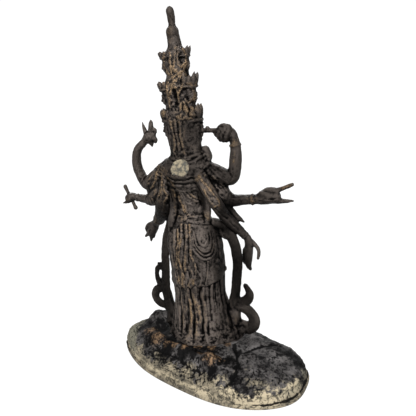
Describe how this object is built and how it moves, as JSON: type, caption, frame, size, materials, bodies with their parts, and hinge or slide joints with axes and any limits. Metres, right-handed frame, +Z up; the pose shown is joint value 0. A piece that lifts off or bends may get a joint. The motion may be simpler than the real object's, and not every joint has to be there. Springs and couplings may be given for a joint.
{
  "type": "avalokiteshvara statue",
  "caption": "Small cast bronze figure of a many-headed, many-armed bodhisattva standing on a low oval rock mound, with falling scarves and a pale plugged hole between the shoulders.",
  "frame": {"origin": "middle of the box round the rock mound's outline, on its flat underside", "axes": "+Z up; the figure faces -Y; its left hand is at +X"},
  "size_m": [0.1852, 0.1004, 0.2954],
  "materials": {
    "bronze": "old dark brown-black patina, worn to taupe on the raised folds, with ochre dust on the ridges",
    "rock": "matt mineral body, charcoal-black on top and cream-buff at the sides",
    "fill": "rough pale cream plaster"
  },
  "bodies": {
    "root": {"figure": "bronze", "rock_mound": "rock", "back_fill": "fill"}
  },
  "joints": []
}
